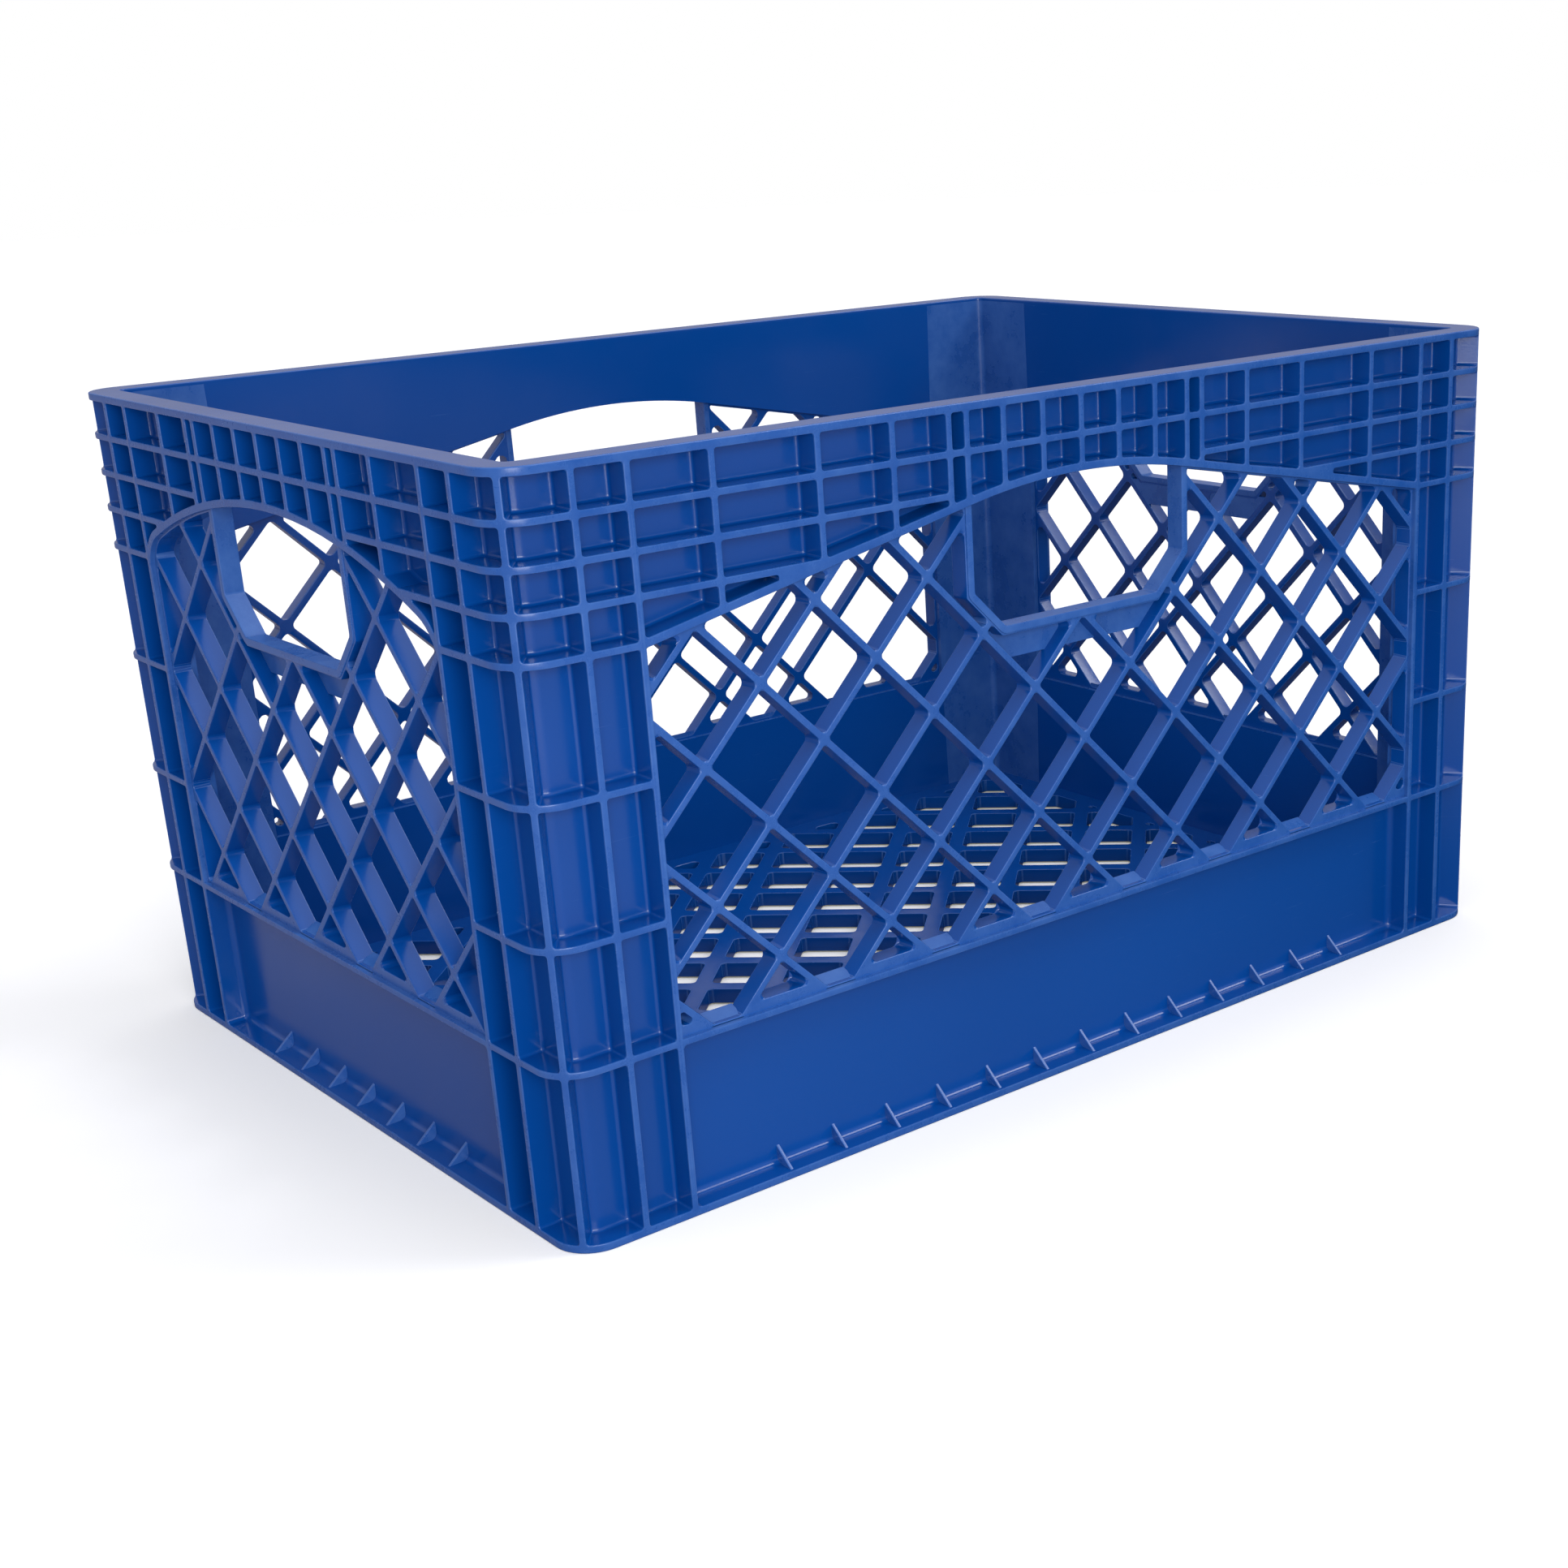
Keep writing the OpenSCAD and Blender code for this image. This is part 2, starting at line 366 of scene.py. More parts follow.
def above_arch(side):
    """The region over the arched rib."""
    line = arch_line(side, ARCH_RIB / 2)
    top = HEIGHT - RIM
    return [(-line[0][0], top)] + list(reversed(line)) + [(line[0][0], top)]


def hand_hole(grow, top):
    """Outline of a hand hole, moved outwards by grow and cut off at a height."""
    lean = math.tan(math.pi / 8) * grow
    w, foot, shoulder = HAND_SIDE + grow, HAND_SIDE - HAND_CUT + lean, HAND_LOW + HAND_CUT - lean
    low = HAND_LOW - grow
    return [(-w, top), (-w, shoulder), (-foot, low), (foot, low), (w, shoulder), (w, top)]


# ---------------------------------------------------------------- solids


class Shell:
    """A closed mesh drawn in width, height and depth, and put in place by a function."""

    def __init__(self, place):
        self.bm = bmesh.new()
        self.place = place

    def ring(self, points, depth):
        return [(p, self.bm.verts.new(self.place(p[0], p[1], depth))) for p in points]

    def bridge(self, a, b):
        n = len(a)
        for i in range(n):
            k = (i + 1) % n
            self.bm.faces.new((a[i][1], a[k][1], b[k][1], b[i][1]))

    def cap(self, outer, holes, depth, inner=()):
        """Fills the flat region between a ring and the rings inside it; inner gives points to bend at."""
        rings = [outer] + holes
        corners, owners, faces = [], [], []
        for r in rings:
            faces.append(list(range(len(corners), len(corners) + len(r))))
            corners.extend(Vector(p) for p, _ in r)
            owners.extend(v for _, v in r)
        for p in inner:
            corners.append(Vector(p))
            owners.append(self.bm.verts.new(self.place(p[0], p[1], depth)))
        parts = delaunay_2d_cdt(corners, [], faces, 0, CAP_TOLERANCE)
        _, _, triangles, sources, _, covers = parts
        for tri, own in zip(triangles, covers):
            if own and not any(k > 0 for k in own):
                ids = [owners[sources[k][0]] for k in tri]
                if len(set(ids)) == 3:
                    self.bm.faces.new(ids)

    def object(self, name):
        bmesh.ops.recalc_face_normals(self.bm, faces=self.bm.faces)
        mesh = bpy.data.meshes.new(name)
        self.bm.to_mesh(mesh)
        self.bm.free()
        return new_piece(name, mesh)


def sunk(point):
    """Distance of a point, in millimetres, inside the upright outline of the crate."""
    p = abs(point.x) / MM - LENGTH / 2 + CORNER
    q = abs(point.y) / MM - WIDTH / 2 + CORNER
    return CORNER - (math.hypot(p, q) if min(p, q) > 0 else max(p, q))


def mark_edges(mesh):
    """Marks rounded outer edges and outer faces, whose plastic is paled: partly rubbing, partly a painted
    highlight on the edges and painted light on the open faces, which leaves the recessed cells darker.
    """
    bm = bmesh.new()
    bm.from_mesh(mesh)
    wear_and_highlight_layer = bm.faces.layers.float.new("wear_and_painted_highlight")
    for face in bm.faces:
        outer = [e for e in face.edges if e.is_convex and e.calc_face_angle(0) > WEAR_AND_HIGHLIGHT_ANGLE]
        exposed = all(sunk(v.co) < OUTER_DEPTH for v in face.verts)
        # Paler plastic: partly rubbing, partly a painted highlight on rounded edges and painted light on
        # open outer faces
        face[wear_and_highlight_layer] = EDGE_WEAR_AND_HIGHLIGHT if len(outer) > 1 else FACE_WEAR_AND_PAINTED_LIGHT if exposed else 0.0
    bm.to_mesh(mesh)
    bm.free()


def new_piece(name, mesh):
    """A shaded object for a mesh: smooth over the small roundings, flat elsewhere."""
    mark_edges(mesh)
    for poly in mesh.polygons:
        poly.use_smooth = True
    mesh.set_sharp_from_angle(angle=SMOOTH_ANGLE)
    piece = bpy.data.objects.new(name, mesh)
    bpy.context.scene.collection.objects.link(piece)
    normals = piece.modifiers.new("face_weighted_normals", "WEIGHTED_NORMAL")
    normals.keep_sharp = True
    normals.weight = LARGE_FACE_WEIGHT
    return piece


def edge_steps(front):
    """Steps of (depth, growth of the outline) that round the outer edge of a hole."""
    turns = [QUARTER * k / EDGE_STEPS for k in range(EDGE_STEPS + 1)]
    return [(front + EDGE * (1 - math.cos(a)), EDGE * (1 - math.sin(a))) for a in turns]


def pocket_profile(floor, fillet):
    """Steps of (depth, growth) from the front of a pocket to its filleted floor."""
    turns = [QUARTER * k / FILLET_STEPS for k in range(FILLET_STEPS + 1)]
    root = [(floor - fillet * (1 - math.sin(a)), -DRAFT - fillet * (1 - math.cos(a))) for a in turns]
    return edge_steps(0) + root


def through_profile(front, back):
    """Steps of (depth, growth) for a hole that goes right through."""
    turns = [QUARTER * k / EDGE_STEPS for k in range(EDGE_STEPS + 1)]
    rear = [(back - EDGE * (1 - math.sin(a)), EDGE * (1 - math.cos(a)) - DRAFT) for a in turns]
    return edge_steps(front) + rear


def spread(points, counts):
    """The outline with each side cut into as many parts as counts says."""
    out = []
    for i, (x, y) in enumerate(points):
        far_x, far_y = points[(i + 1) % len(points)]
        n = counts[i]
        out.extend((x + (far_x - x) * k / n, y + (far_y - y) * k / n) for k in range(n))
    return out


def cut_hole(shell, outline, profile, radius, back_radius, bend=None):
    """Rings of one pocket or hole, front first; bend gives the longest side along a bent wall."""
    rings, counts = [], None
    for i, (depth, growth) in enumerate(profile):
        share = i / (len(profile) - 1)
        r = radius + (back_radius - radius) * share + growth
        points = rounded(grown(outline, growth), max(r, SMALLEST_RADIUS))
        if bend:
            if counts is None:
                ends = zip(points, points[1:] + points[:1])
                counts = [max(1, math.ceil(abs(p[0] - q[0]) / bend)) for p, q in ends]
            points = spread(points, counts)
        rings.append(shell.ring(points, depth))
    for a, b in zip(rings, rings[1:]):
        shell.bridge(a, b)
    return rings


# ---------------------------------------------------------------- places


def on_front(u, z, depth):
    return Vector((u, -WIDTH / 2 + depth, z)) * MM


def on_back(u, z, depth):
    return Vector((u, WIDTH / 2 - depth, z)) * MM


def on_left(u, z, depth):
    return Vector((-LENGTH / 2 + depth, u, z)) * MM


def on_right(u, z, depth):
    return Vector((LENGTH / 2 - depth, u, z)) * MM


WALLS = {
    "front": (on_front, SIDES["long"]),
    "back": (on_back, SIDES["long"]),
    "left": (on_left, SIDES["short"]),
    "right": (on_right, SIDES["short"]),
}

BEND_HALF = CORNER * math.pi / 4


def along(distance):
    """Length along the outside from the middle of a corner to a distance from the corner."""
    return distance - CORNER + BEND_HALF


def round_corner(side_x, side_y):
    """Place function that wraps a flat strip, with 0 at its middle, round a corner."""

    def place(s, z, depth):
        if abs(s) > BEND_HALF:
            p, q = CORNER + abs(s) - BEND_HALF, depth
            if s < 0:
                p, q = q, p
        else:
            a = math.radians(225) + s / CORNER
            p = CORNER + (CORNER - depth) * math.cos(a)
            q = CORNER + (CORNER - depth) * math.sin(a)
        return Vector((side_x * (p - LENGTH / 2), side_y * (q - WIDTH / 2), z)) * MM

    return place


def flat_floor(x, y, depth):
    return Vector((x, y, FLOOR_TOP - depth)) * MM


# ---------------------------------------------------------------- members


def finish_piece(piece, node):
    """Hides the CAD node that a piece stands in for, and hangs the piece on the root body."""
    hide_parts(node)
    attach(piece, "root")
    return piece


def band_cells(side):
    """Pockets between the ribs above the window."""
    half = side["half"] - RIB / 2
    shapes = [("field", above_arch(side))]
    for u in side["ribs"]:
        for s in (-1, 1) if u else (1,):
            shapes.append(("rib", rectangle(s * u - RIB / 2, LEDGE_TOP, s * u + RIB / 2, HEIGHT)))
    for z in (LEVELS[0], LEVELS[2]):
        shapes.append(("rib", rectangle(-half - RIB, z - RIB / 2, half + RIB, z + RIB / 2)))
    for s in (-1, 1):
        ends = sorted((s * SECOND_RIB_FROM, s * (half + RIB)))
        shapes.append(("rib", rectangle(ends[0], LEVELS[1] - RIB / 2, ends[1], LEVELS[1] + RIB / 2)))
    return cells(shapes, lambda names: names == {"field"})


def slimness(poly):
    """Twice the area over the outline: about half the width of a long shape."""
    return 2 * area_of(poly) / sum(math.dist(poly[i - 1], p) for i, p in enumerate(poly))


def shortest_side(poly):
    """Length of the shortest side between two real corners."""
    sharp = [abs(turn_at(poly, i)) > BLUNT for i in range(len(poly))]
    ends = [i for i in range(len(poly)) if sharp[i] and sharp[i - 1]]
    return min(math.dist(poly[i - 1], poly[i]) for i in ends)


def add_pocket(shell, outline, radius, fillet, bend=None):
    """One blind pocket, with rounded edges and a filleted floor. Returns its front ring."""
    room = min(WIDTH_SHARE * slimness(outline), LENGTH_SHARE * shortest_side(outline) - DRAFT)
    fillet = max(min(fillet, room), SMALLEST_FILLET)
    rings = cut_hole(shell, outline, pocket_profile(SKIN, fillet), radius, radius + fillet, bend)
    if bend:
        strip_cap(shell, rings[-1])
    else:
        shell.cap(rings[-1], [], SKIN)
    return rings[0]


def strip_cap(shell, ring):
    """Fills a ring that is the same above and below its middle with upright strips."""
    middle = sum(p[1] for p, _ in ring) / len(ring)
    low = sorted((r for r in ring if r[0][1] < middle), key=lambda r: r[0][0])
    high = sorted((r for r in ring if r[0][1] > middle), key=lambda r: r[0][0])
    for a, b, c, d in zip(low, low[1:], high[1:], high):
        shell.bm.faces.new((a[1], b[1], c[1], d[1]))


def half_of(shell, node, up):
    """The piece that a wall's plate gives above half its height, or below it when up is -1."""
    bm = shell.bm.copy()
    everything = bm.verts[:] + bm.edges[:] + bm.faces[:]
    cut = Vector((0, 0, HEIGHT / 2 * MM))
    bmesh.ops.bisect_plane(bm, geom=everything, plane_co=cut, plane_no=(0, 0, up), clear_inner=True)
    bmesh.ops.edgeloop_fill(bm, edges=[e for e in bm.edges if e.is_boundary])
    mesh = bpy.data.meshes.new(f"{node}_moulding")
    bm.to_mesh(mesh)
    bm.free()
    return finish_piece(new_piece(mesh.name, mesh), node)


def wall_frame(name, place, side):
    """Band and skirt of one wall, drawn as one plate with pockets round the window, then cut apart."""
    half, low, top = side["half"], BASE / 2, HEIGHT - RIM / 2
    shell = Shell(place)
    fronts = [add_pocket(shell, c, POCKET_RADIUS, FILLET) for c in band_cells(side)]
    skirt = rectangle(-half + RIB / 2, BASE, half - RIB / 2, LEDGE_TOP - RIB)
    fronts.append(add_pocket(shell, skirt, SKIRT_RADIUS, SKIRT_FILLET))
    pane = window(side)
    rings = []
    for depth, growth in [(0, EDGE), (EDGE_BEND * EDGE, EDGE_BEND * EDGE), (EDGE, 0), (WALL, 0)]:
        rings.append(shell.ring(grown(pane, growth) if growth else pane, depth))
    for a, b in zip(rings, rings[1:]):
        shell.bridge(a, b)
    fronts.append(rings[0])
    outline = rectangle(-half, low, half, top)
    front, back = shell.ring(outline, 0), shell.ring(outline, WALL)
    shell.bridge(front, back)
    shell.cap(front, fronts, 0)
    shell.cap(back, [rings[-1]], WALL)
    bmesh.ops.recalc_face_normals(shell.bm, faces=shell.bm.faces)
    pieces = [half_of(shell, f"band_{name}", 1), half_of(shell, f"skirt_{name}", -1)]
    shell.bm.free()
    return pieces


def lattice_shapes():
    """Bars of a lattice."""
    shapes = []
    for i in LATTICE_BARS:
        for angle in DIAGONALS:
            shapes.append(("bar", bar(i * LATTICE_PITCH, LATTICE_LOW, angle, LATTICE_BAR)))
    return shapes


def sill_shapes():
    """Low fillings between the feet of two bars that cross."""
    foot = LATTICE_LOW - LEDGE_TOP
    shapes = []
    for i in SILLS:
        u = i * LATTICE_PITCH
        sill = sloped_bar(u, foot + SILL_SUNK, LEDGE_TOP - SILL_SUNK, foot - SILL, LEDGE_TOP + SILL)
        shapes.append(("sill", sill))
    return shapes


def sloped_bar(u, low_half, low, high_half, high):
    """A trapezium about an upright line, given half its width at its foot and at its top."""
    return [(u - low_half, low), (u + low_half, low), (u + high_half, high), (u - high_half, high)]


def lattice(name, place, side):
    """Grille of a window, with small pads on the ledge that slope outwards."""
    pane = window(side)
    outline = cells([("pane", pane), ("hand", hand_hole(0, ABOVE_WINDOW))], lambda names: names == {"pane"})
    outline = max(outline, key=area_of)
    hand = hand_hole(HAND_BAR / 2 + HAND_MARGIN, ABOVE_WINDOW)
    shapes = [("pane", grown(pane, -MARGIN)), ("hand", hand)] + lattice_shapes() + sill_shapes()
    shell = Shell(place)
    front, back = shell.ring(outline, LATTICE_FRONT), shell.ring(outline, LATTICE_BACK)
    shell.bridge(front, back)
    fronts, backs = [], []
    for c in cells(shapes, lambda names: names == {"pane"}):
        rings = cut_hole(shell, c, through_profile(LATTICE_FRONT, LATTICE_BACK), *LATTICE_RADII)
        fronts.append(rings[0])
        backs.append(rings[-1])
    shell.cap(front, fronts, LATTICE_FRONT)
    shell.cap(back, backs, LATTICE_BACK)
    shell.place = lambda depth, z, u: place(u, z, depth)
    pad = rectangle(LATTICE_FRONT, LEDGE_TOP - PAD_SUNK, LATTICE_BACK - PAD_SUNK, LEDGE_TOP + PAD_RISE)
    pad[-1] = (LATTICE_FRONT, LEDGE_TOP + PAD_SUNK)
    reach = LATTICE_PITCH / 2 - (LATTICE_LOW - LEDGE_TOP)
    for i in LATTICE_BARS:
        u = (i + 0.5) * LATTICE_PITCH
        if abs(u) + reach < side["half"] - RIB:
            prism(shell, pad, u - reach, u + reach, PAD_SUNK)
    return finish_piece(shell.object(f"lattice_{name}_moulding"), f"lattice_{name}")


def prism(shell, outline, a, b, edge):
    """A plate from depth a to depth b with rounded edges."""
    steps = [(0, -edge), (EDGE_BEND * edge, -EDGE_BEND * edge), (edge, 0)]
    levels = [(a + d, g) for d, g in steps] + [(b - d, g) for d, g in reversed(steps)]
    rings = [shell.ring(grown(outline, g) if g else outline, d) for d, g in levels]
    for first, second in zip(rings, rings[1:]):
        shell.bridge(first, second)
    shell.cap(rings[0], [], a)
    shell.cap(rings[-1], [], b)


def handle(name, place, side):
    """Frame of a hand hole: a strip bent round the hole, and a flange under its bar."""
    shell = Shell(place)
    top = min(z for u, z in arch_line(side, 0) if abs(u) < HAND_SIDE) - HAND_DROP
    strip = rectangle(-HAND_BAR / 2, HAND_FRONT, HAND_BAR / 2, LATTICE_BACK + SHORT_OVERLAP)
    corner = HAND_STEPS + 1
    chains = []
    for g, depth in rounded(strip, EDGE, EDGE_STEPS):
        points = rounded(hand_hole(g, top), HAND_RADIUS + g, HAND_STEPS)
        chain = [(-HAND_SIDE - g, top)] + points[corner:-corner] + [(HAND_SIDE + g, top)]
        chains.append([shell.bm.verts.new(place(u, z, depth)) for u, z in chain])
    n = len(chains)
    for i in range(n):
        a, b = chains[i], chains[(i + 1) % n]
        for k in range(len(a) - 1):
            shell.bm.faces.new((a[k], a[k + 1], b[k + 1], b[k]))
    shell.bm.faces.new([c[0] for c in chains])
    shell.bm.faces.new([c[-1] for c in reversed(chains)])
    low = HAND_LOW - HAND_BAR / 2
    wide = LATTICE_PITCH - (LATTICE_LOW + 2 * LATTICE_PITCH - low)
    flange = sloped_bar(0, wide - HAND_FLANGE, low - HAND_FLANGE, wide, low + OVERLAP)
    front, back = LATTICE_BACK - FLANGE_THICK, LATTICE_BACK - SHORT_OVERLAP
    for c in cells([("flange", flange)] + lattice_shapes(), lambda names: names == {"flange"}):
        prism(shell, grown(c, FLANGE_OVERLAP), front, back, SMALL_EDGE)
    return finish_piece(shell.object(f"handle_{name}_moulding"), f"handle_{name}")


def gussets(name, place, side):
    """Row of small wedges between the flange and the skirt."""
    shell = Shell(lambda depth, z, u: place(u, z, depth))
    inner, low = SKIN + FLANGE_OVERLAP, BASE - OVERLAP
    wedge = [(SKIN - GUSSET_FOOT, low), (inner, low), (inner, BASE + GUSSET_HIGH)]
    for i in range(-side["gussets"], side["gussets"] + 1):
        u = i * GUSSET_PITCH
        prism(shell, wedge, u - GUSSET_THICK / 2, u + GUSSET_THICK / 2, SMALL_EDGE)
    return finish_piece(shell.object(f"gussets_{name}_moulding"), f"gussets_{name}")


def post(name, side_x, side_y):
    """Corner post, drawn flat as one strip of pockets and wrapped round the corner."""
    shell = Shell(round_corner(side_x, side_y))
    fin, middle, edge = 0.0, along(POST_MID), along(POST_EDGE)
    floors = [HEIGHT - RIM + RIB / 2] + LEVELS + [BASE - RIB / 2]
    fronts = []
    for s in (-1, 1):
        for a, b in ((fin, middle), (middle, edge)):
            for high, low in zip(floors, floors[1:]):
                ends = sorted((s * (a + RIB / 2), s * (b - RIB / 2)))
                cell = rectangle(ends[0], low + RIB / 2, ends[1], high - RIB / 2)
                fronts.append(add_pocket(shell, cell, POCKET_RADIUS, FILLET, BEND))
    outline = rectangle(-edge, BASE / 2, edge, HEIGHT - RIM / 2)
    parts = math.ceil(2 * edge / BEND)
    outline = spread(outline, [parts, 1, parts, 1])
    front, back = shell.ring(outline, 0), shell.ring(outline, WALL)
    shell.bridge(front, back)
    shell.cap(front, fronts, 0)
    strip_cap(shell, back)
    return finish_piece(shell.object(f"post_{name}_moulding"), f"post_{name}")


def hoop(name, node, section):
    """A closed ring round the crate with a section given as (depth, height)."""
    turns = []
    for index, (x, y) in enumerate(((1, 1), (-1, 1), (-1, -1), (1, -1))):
        for k in range(HOOP_STEPS + 1):
            a = QUARTER * (index + k / HOOP_STEPS)
            turns.append((x * (LENGTH / 2 - CORNER), y * (WIDTH / 2 - CORNER), math.cos(a), math.sin(a)))
    bm = bmesh.new()
    rings = []
    for depth, z in section:
        r = CORNER - depth
        rings.append([bm.verts.new(Vector((x + r * c, y + r * s, z)) * MM) for x, y, c, s in turns])
    for i, a in enumerate(rings):
        b = rings[(i + 1) % len(rings)]
        for k in range(len(a)):
            m = (k + 1) % len(a)
            bm.faces.new((a[k], a[m], b[m], b[k]))
    bmesh.ops.recalc_face_normals(bm, faces=bm.faces)
    mesh = bpy.data.meshes.new(name)
    bm.to_mesh(mesh)
    bm.free()
    return finish_piece(new_piece(name, mesh), node)


def rounded_side(low, high, inner, edge, side):
    """Section of a hoop: rounded on its upper or lower side, square on the other."""
    points = []
    level, back = (high, low) if side > 0 else (low, high)
    for k in range(RIM_STEPS + 1):
        a = QUARTER * k / RIM_STEPS
        points.append((edge * (1 - math.sin(a)), level - side * edge * (1 - math.cos(a))))
    points = [(0, back)] + sorted(points, key=lambda p: p[0])
    tail = [(inner - d, z) for d, z in points]
    return points + list(reversed(tail))


def floor_frame():
    """Plain border of the floor."""
    shell = Shell(flat_floor)
    x, y = LENGTH / 2 - WALL + OVERLAP, WIDTH / 2 - WALL + OVERLAP
    outer = rectangle(-x, -y, x, y)
    inner = rectangle(-FLOOR_EDGE_X, -FLOOR_EDGE_Y, FLOOR_EDGE_X, FLOOR_EDGE_Y)
    tops = [shell.ring(outer, 0), shell.ring(inner, 0)]
    feet = [shell.ring(outer, FLOOR_TOP), shell.ring(inner, FLOOR_TOP)]
    for a, b in zip(tops, feet):
        shell.bridge(a, b)
    shell.cap(tops[0], [tops[1]], 0)
    shell.cap(feet[0], [feet[1]], FLOOR_TOP)
    return finish_piece(shell.object("floor_frame_moulding"), "floor_frame")


def floor_grid():
    """Plate of the floor, cut into a grid of diagonal bars."""
    shell = Shell(flat_floor)
    outline = rectangle(-FLOOR_EDGE_X, -FLOOR_EDGE_Y, FLOOR_EDGE_X, FLOOR_EDGE_Y)
    shapes = [("pane", grown(outline, -MARGIN))]
    for i in FLOOR_BARS:
        for angle in DIAGONALS:
            shapes.append(("bar", bar(FLOOR_SHIFT + i * FLOOR_PITCH, 0, angle, FLOOR_BAR)))
    front, back = shell.ring(outline, 0), shell.ring(outline, FLOOR_THICK)
    shell.bridge(front, back)
    fronts, backs = [], []
    for c in cells(shapes, lambda names: names == {"pane"}):
        rings = cut_hole(shell, c, through_profile(0, FLOOR_THICK), *FLOOR_RADII)
        fronts.append(rings[0])
        backs.append(rings[-1])
    shell.cap(front, fronts, 0)
    shell.cap(back, backs, FLOOR_THICK)
    return finish_piece(shell.object("floor_grid_moulding"), "floor_grid")


crate = []
for wall, (place, side) in WALLS.items():
    crate += wall_frame(wall, place, side)
    crate.append(lattice(wall, place, side))
    crate.append(handle(wall, place, side))
    crate.append(gussets(wall, place, side))
for post_name, side_x, side_y in (
    ("front_left", 1, 1),
    ("front_right", -1, 1),
    ("back_left", 1, -1),
    ("back_right", -1, -1),
):
    crate.append(post(post_name, side_x, side_y))
crate.append(hoop("rim_moulding", "rim", rounded_side(HEIGHT - RIM / 2, HEIGHT, WALL, RIM_EDGE, 1)))
crate.append(hoop("base_flange_moulding", "base_flange", rounded_side(0, BASE / 2, WALL, BASE_EDGE, -1)))
crate.append(floor_frame())
crate.append(floor_grid())


# ---------------------------------------------------------------- materials

DEEP = (0.0005, 0.062, 0.30, 1)
MID = (0.001, 0.070, 0.33, 1)
# Pale blue of rubbing and scratches, also used as painted highlight on edges and painted light on outer
# faces
PALE_WEAR_AND_HIGHLIGHT = (0.07, 0.19, 0.5, 1)
PLASTIC_IOR = 1.5

# Roughness of clean plastic, from and to, and what a mark adds
GLOSS = (0.12, 0.24)
MARK_ROUGHNESS = 0.35

# How much the pale colour shows on edges, from and to, partly as rubbing and partly as painted highlight,
# and on scratches
WEAR_AND_HIGHLIGHT_SHARE = (0.2, 0.6)
SCRATCH = 0.22


# Places of the colour sockets on a Mix node
MIX_A, MIX_B, MIX_RESULT = 6, 7, 2


class Nodes:
    """Short ways to add shader nodes to a material or world."""

    def __init__(self, owner):
        owner.use_nodes = True
        self.nodes, self.links = owner.node_tree.nodes, owner.node_tree.links

    def add(self, kind, **settings):
        node = self.nodes.new(kind)
        for name, value in settings.items():
            setattr(node, name, value)
        return node

    def put(self, value, socket):
        if isinstance(value, bpy.types.NodeSocket):
            self.links.new(value, socket)
        else:
            socket.default_value = value

    def noise(self, place, scale, detail=2.0, rough=0.5):
        node = self.add("ShaderNodeTexNoise")
        self.put(place, node.inputs["Vector"])
        for name, value in (("Scale", scale), ("Detail", detail), ("Roughness", rough)):
            node.inputs[name].default_value = value
        return node.outputs["Fac"]

    def ranged(self, value, low, high, to_low, to_high):
        node = self.add("ShaderNodeMapRange")
        names = ("Value", "From Min", "From Max", "To Min", "To Max")
        for name, v in zip(names, (value, low, high, to_low, to_high)):
            self.put(v, node.inputs[name])
        return node.outputs["Result"]

    def math(self, operation, a, b):
        node = self.add("ShaderNodeMath", operation=operation)
        self.put(a, node.inputs[0])
        self.put(b, node.inputs[1])
        return node.outputs[0]

    def mix(self, fac, a, b):
        node = self.add("ShaderNodeMix", data_type="RGBA")
        self.put(fac, node.inputs["Factor"])
        self.put(a, node.inputs[MIX_A])
        self.put(b, node.inputs[MIX_B])
        return node.outputs[MIX_RESULT]

    def ramp(self, value, stops):
        """A colour for a value, between stops given as (value, colour)."""
        node = self.add("ShaderNodeValToRGB")
        self.put(value, node.inputs["Fac"])
        for place, colour in stops[1:-1]:
            node.color_ramp.elements.new(place).color = colour
        for element, (place, colour) in zip(node.color_ramp.elements, stops):
            element.position = place
            element.color = colour
        return node.outputs["Color"]

    def stretched(self, place, scale, turn):
        node = self.add("ShaderNodeMapping")
        self.put(place, node.inputs["Vector"])
        node.inputs["Scale"].default_value = scale
        node.inputs["Rotation"].default_value = turn
        return node.outputs["Vector"]

    def bump(self, height, strength, distance, below=None):
        node = self.add("ShaderNodeBump")
        node.inputs["Strength"].default_value = strength
        node.inputs["Distance"].default_value = distance
        self.put(height, node.inputs["Height"])
        if below is not None:
            self.put(below, node.inputs["Normal"])
        return node.outputs["Normal"]


